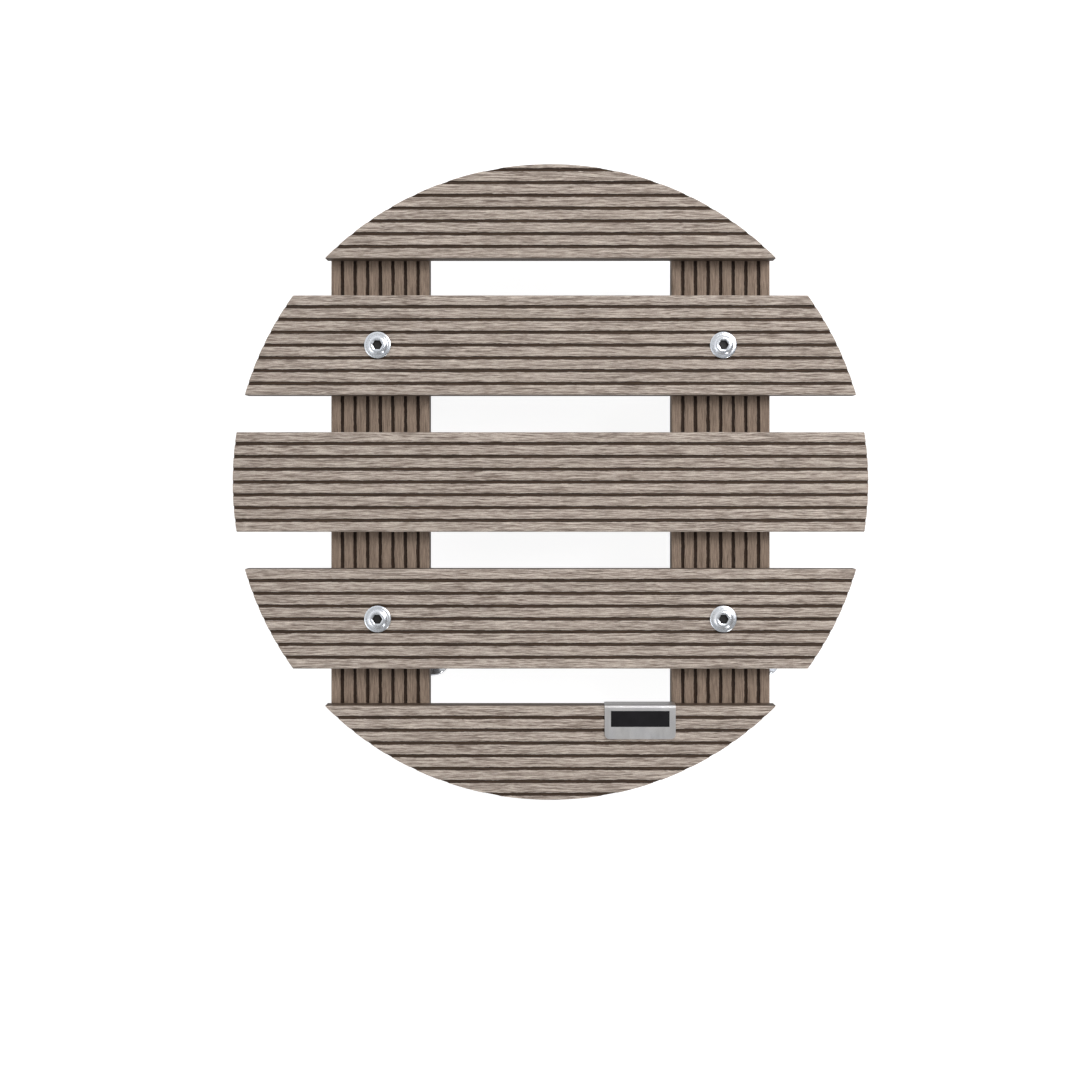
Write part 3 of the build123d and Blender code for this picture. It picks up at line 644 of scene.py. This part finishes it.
def make_tyre(caster):
    """The tread ring, with a swelling side wall that runs into a rounded shoulder."""
    low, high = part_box(f"{caster}_tyre")
    side = [(along * MM, radius * MM) for along, radius in TYRE_SIDE]
    rings = [(-along, radius) for along, radius in side] + side[::-1]
    rings.append(rings[0])
    vertices, faces = turned((low + high) / 2, Vector((1, 0, 0)), rings, TYRE_SEGMENTS)
    piece = make_object(f"{caster}_tread_ring", vertices, faces, ["tyre_rubber"], [0] * len(faces), 50)
    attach(piece, body_of[f"{caster}_tyre"])
    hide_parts(f"{caster}_tyre")


# ---------------------------------------------------------------- sheet metal

# How wide the sheared edges are rounded
FORK_EDGE = 0.3 * MM
CUP_EDGE = 0.3 * MM
LEVER_EDGE = 0.35 * MM

# Faces closer to one plane than the first angle are joined, and edges sharper than the second are rounded
WELD_DISTANCE = 1e-6
FLAT_ANGLE = 0.4
SHEARED_ANGLE = 32


def soften(name, edge):
    """A copy of a CAD pressing whose sheared edges are rounded off, in place of the sharp one."""
    source = frame["nodes"][name]
    mesh = source.data.copy()
    worker = bmesh.new()
    worker.from_mesh(mesh)
    worker.transform(source.matrix_world)
    bmesh.ops.remove_doubles(worker, verts=worker.verts, dist=WELD_DISTANCE)
    flat = math.radians(FLAT_ANGLE)
    bmesh.ops.dissolve_limit(worker, angle_limit=flat, verts=worker.verts, edges=worker.edges)
    worker.to_mesh(mesh)
    worker.free()
    mesh.materials.clear()
    mesh.materials.append(looks[slot_of[name]])
    mesh.polygons.foreach_set("use_smooth", [True] * len(mesh.polygons))
    mesh.polygons.foreach_set("material_index", [0] * len(mesh.polygons))
    piece = bpy.data.objects.new(name + "_pressing", mesh)
    bpy.context.scene.collection.objects.link(piece)
    bevel = piece.modifiers.new("rounded_edges", "BEVEL")
    bevel.width = edge
    bevel.segments = 2
    bevel.limit_method = "ANGLE"
    bevel.angle_limit = math.radians(SHEARED_ANGLE)
    bevel.harden_normals = True
    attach(piece, body_of[name])
    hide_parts(name)


# ---------------------------------------------------------------- badge

BADGE_THICKNESS = 0.8 * MM
FOLD_RADIUS = 1.9 * MM
FOLD_STEPS = 8
FRONT_CORNER = 3.0 * MM
FOOT_CORNER = 1.6 * MM

# Rows of points: from the front edge back, as shares of the way down the drop, and from the foot up
FRONT_ROWS = (0, 0.15, 0.45, 0.9, 1.5, 2.2, 3.0, 5.0)
DROP_ROWS = (0.3, 0.6)
FOOT_ROWS = (1.6, 1.0, 0.5, 0.15, 0)

# The printed field, from the folded side of the plate, and its columns from end to end
FIELD_FRONT = 13.5 * MM
FIELD_REAR = 3.7 * MM
FIELD_COLUMNS = [x * MM for x in (-17.95, -9, 0, 9, 18.0)]

# The plain margin beyond it, in shares of the way to the plate's side
MARGIN_START = 18.2 * MM
MARGIN_SHARES = (0.2, 0.5, 0.8, 1.0)
PLATE, PRINT = range(2)


def badge_rim(rows, columns):
    """The (row, column) places round the edge of the plate, in order."""
    rim = [(0, column) for column in range(columns)] + [(row, columns - 1) for row in range(1, rows)]
    rim += [(rows - 1, column) for column in range(columns - 2, -1, -1)]
    return rim + [(row, 0) for row in range(rows - 2, 0, -1)]


def make_badge():
    """The blank folded plate: rounded corners, a bright fold and one dark printed field."""
    low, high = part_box("badge_plate")
    half = (high.x - low.x) / 2
    middle = (high.x + low.x) / 2
    flat = high.y - FOLD_RADIUS - low.y
    bend = FOLD_RADIUS * math.pi / 2
    drop = high.z - FOLD_RADIUS - low.z
    total = flat + bend + drop
    field = (high.y - FIELD_FRONT - low.y, high.y - FIELD_REAR - low.y)
    stations = [distance * MM for distance in FRONT_ROWS]
    stations += [field[0], (field[0] + field[1]) / 2, field[1], flat]
    stations += [flat + bend * step / FOLD_STEPS for step in range(1, FOLD_STEPS + 1)]
    stations += [flat + bend + drop * share for share in DROP_ROWS]
    stations += [total - distance * MM for distance in FOOT_ROWS]

    def half_width(distance):
        """Half the plate's width at a distance from its front edge, less in its rounded corners."""
        radius, gap = FOOT_CORNER, total - distance
        if distance < FRONT_CORNER:
            radius, gap = FRONT_CORNER, distance
        return half - radius + math.sqrt(radius ** 2 - (radius - gap) ** 2) if gap < radius else half

    def place(distance, depth):
        """Where the plate is at a distance from its front edge, over the flat, the fold and the drop."""
        if distance <= flat:
            return low.y + distance, high.z - depth
        if distance >= flat + bend:
            return high.y - depth, high.z - FOLD_RADIUS - (distance - flat - bend)
        angle = (distance - flat) / FOLD_RADIUS
        radius = FOLD_RADIUS - depth
        y = high.y - FOLD_RADIUS + radius * math.sin(angle)
        return y, high.z - FOLD_RADIUS + radius * math.cos(angle)

    vertices, faces, kinds = [], [], []
    for depth in (0.0, BADGE_THICKNESS):
        for distance in stations:
            y, z = place(distance, depth)
            margin = half_width(distance) - MARGIN_START
            outer = [MARGIN_START + margin * share for share in MARGIN_SHARES]
            across = [-x for x in reversed(outer)] + FIELD_COLUMNS + outer
            vertices += [(middle + x, y, z) for x in across]
    rows, columns = len(stations), len(FIELD_COLUMNS) + 2 * len(MARGIN_SHARES)
    back = rows * columns
    field_columns = range(len(MARGIN_SHARES), columns - len(MARGIN_SHARES) - 1)
    for row in range(rows - 1):
        printed = field[0] - EPS < stations[row] < field[1] - EPS
        for column in range(columns - 1):
            here, there = row * columns + column, (row + 1) * columns + column
            faces.append((here, here + 1, there + 1, there))
            kinds.append(PRINT if printed and column in field_columns else PLATE)
            faces.append((back + here, back + there, back + there + 1, back + here + 1))
            kinds.append(PLATE)
    rim = [row * columns + column for row, column in badge_rim(rows, columns)]
    for here, there in zip(rim, rim[1:] + rim[:1]):
        faces.append((here, back + here, back + there, there))
        kinds.append(PLATE)
    piece = make_object("folded_badge", vertices, faces, ["badge_metal", "badge_print"], kinds, 30)
    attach(piece, "deck")
    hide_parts("badge_plate")


make_bolts()
make_badge()
for caster in CASTERS:
    make_tyre(caster)
    soften(f"{caster}_fork", FORK_EDGE)
    soften(f"{caster}_swivel_cup", CUP_EDGE)
for caster in BRAKED:
    soften(f"{caster}_brake_lever", LEVER_EDGE)


# ---------------------------------------------------------------- stage, light and camera

WHITE = (1.0, 1.0, 1.0, 1.0)
FLOOR_HALF = 6.0
FLOOR_CORNERS = ((-1, -1), (1, -1), (1, 1), (-1, 1))
FLOOR_TONES = ((0.33, 0.33, 0.33, 1.0), (0.37, 0.37, 0.37, 1.0))
FLOOR_GLOW = (0.3, 0.87)

# Name, place, height of the point it faces above the middle of the floor, size, power
SOFTBOXES = (
    ("key", (0.95, 0.7, 1.7), 0.08, (1.0, 0.8), 25.6),
    ("fill", (-1.6, -0.9, 1.0), 0.06, (1.2, 0.8), 5),
    ("front_strip", (1.0, -1.5, 0.55), 0.05, (0.3, 1.3), 6),
    ("right_strip", (1.5, 1.0, 0.5), 0.05, (0.25, 1.2), 6),
)

CAMERA_ABOVE_DECK = 0.92
CAMERA_SHIFT = (-0.0097, -0.0537)


def make_floor():
    """A pale floor that glows nearly white to the camera, still takes shadows, and is clear from below."""
    nodes = Surface("pale_floor")
    nodes.finish(nodes.mix(nodes.noise(3), *FLOOR_TONES), 0.9, Emission_Color=WHITE, Specular_IOR_Level=0.1)
    seen = nodes.add("ShaderNodeLightPath").outputs["Is Camera Ray"]
    nodes.link(nodes.ramp(seen, 0, 1, *FLOOR_GLOW), nodes.shader.inputs["Emission Strength"])
    clear = nodes.add("ShaderNodeBsdfTransparent")
    either = nodes.add("ShaderNodeMixShader")
    nodes.link(nodes.add("ShaderNodeNewGeometry").outputs["Backfacing"], either.inputs[0])
    nodes.link(nodes.shader.outputs["BSDF"], either.inputs[1])
    nodes.link(clear.outputs["BSDF"], either.inputs[2])
    nodes.link(either.outputs["Shader"], nodes.output.inputs["Surface"])
    mesh = bpy.data.meshes.new("floor")
    mesh.from_pydata([(x * FLOOR_HALF, y * FLOOR_HALF, 0) for x, y in FLOOR_CORNERS], [], [(0, 1, 2, 3)])
    mesh.materials.append(nodes.material)
    floor = bpy.data.objects.new("floor", mesh)
    bpy.context.scene.collection.objects.link(floor)


def make_world():
    """A white room, dimmer overhead and on the near right, so that metal has something to reflect. It looks
    plain white itself."""
    world = bpy.data.worlds.new("studio")
    world.use_nodes = True
    nodes = Tree(world.node_tree)
    direction = nodes.add("ShaderNodeSeparateXYZ")
    nodes.link(nodes.add("ShaderNodeTexCoord").outputs["Generated"], direction.inputs[0])
    x, y, z = direction.outputs
    sides = nodes.ramp(nodes.math("SUBTRACT", y, x), -1.1, 0.7, 0.3, 1.1)
    overhead = nodes.ramp(z, 0.25, 0.9, 1.0, 0.62)
    seen = nodes.add("ShaderNodeLightPath").outputs["Is Camera Ray"]
    background = world.node_tree.nodes["Background"]
    strength = nodes.math("MAXIMUM", nodes.math("MULTIPLY", sides, overhead), seen)
    nodes.link(strength, background.inputs["Strength"])
    background.inputs["Color"].default_value = WHITE
    bpy.context.scene.world = world


def make_softbox(name, place, facing_height, size, power):
    """A rectangular light turned to a point over the middle of the floor, and unseen itself."""
    light = bpy.data.lights.new(name, "AREA")
    light.shape = "RECTANGLE"
    light.size, light.size_y = size
    light.energy = power
    box = bpy.data.objects.new(name, light)
    box.location = place
    box.rotation_euler = (Vector((0, 0, facing_height)) - Vector(place)).to_track_quat("-Z", "Y").to_euler()
    box.visible_camera = False
    bpy.context.scene.collection.objects.link(box)


def make_camera():
    """Straight down on the deck, from the height that gives the deck its size in the picture."""
    data = bpy.data.cameras.new("camera")
    data.sensor_width = 36.0
    data.lens = 50.0
    data.shift_x, data.shift_y = CAMERA_SHIFT
    camera = bpy.data.objects.new("camera", data)
    camera.location = (0.0, 0.0, DECK_TOP + CAMERA_ABOVE_DECK)
    bpy.context.scene.collection.objects.link(camera)
    bpy.context.scene.camera = camera


make_floor()
make_world()
for softbox in SOFTBOXES:
    make_softbox(*softbox)
make_camera()
bpy.context.scene.view_settings.view_transform = "Standard"
